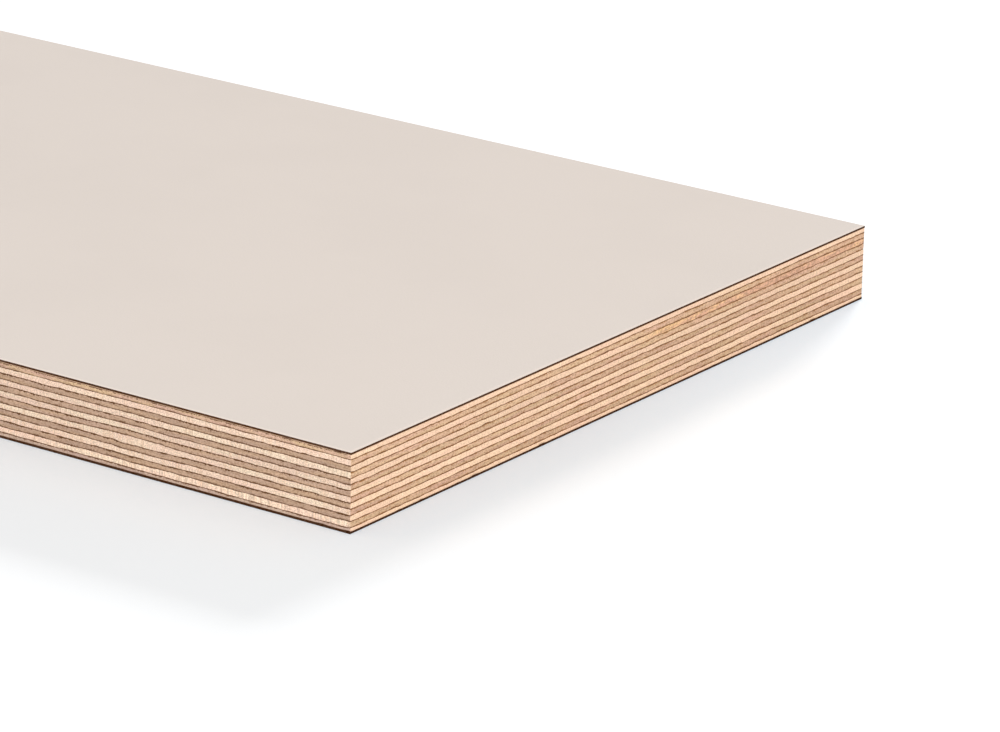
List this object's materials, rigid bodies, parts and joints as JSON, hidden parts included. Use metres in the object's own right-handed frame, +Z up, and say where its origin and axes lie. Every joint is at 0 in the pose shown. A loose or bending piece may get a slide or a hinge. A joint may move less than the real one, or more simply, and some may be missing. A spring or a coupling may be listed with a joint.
{
  "type": "plywood sheet",
  "caption": "Flat rectangular birch plywood sheet for shelves and panels, with cross-laid veneers showing on its square sawn edges and a smooth greige laminate on its faces.",
  "frame": {"origin": "centre of the back face, which lies on the floor", "axes": "+X along the long edge, +Y along the short edge, +Z up through the thickness to the front face"},
  "size_m": [0.6, 0.2, 0.018],
  "materials": {
    "laminate": "satin",
    "cross_veneer": "matte",
    "long_veneer": "matte",
    "glue": "matte"
  },
  "bodies": {
    "root": {"front_laminate": "laminate", "veneer_01_cross": "cross_veneer", "veneer_02_long": "long_veneer", "veneer_03_cross": "cross_veneer", "veneer_04_long": "long_veneer", "veneer_05_cross": "cross_veneer", "veneer_06_long": "long_veneer", "veneer_07_cross": "cross_veneer", "veneer_08_long": "long_veneer", "veneer_09_cross": "cross_veneer", "veneer_10_long": "long_veneer", "veneer_11_cross": "cross_veneer", "veneer_12_long": "long_veneer", "veneer_13_cross": "cross_veneer", "glue_lines": "glue", "back_laminate": "laminate"}
  },
  "joints": []
}
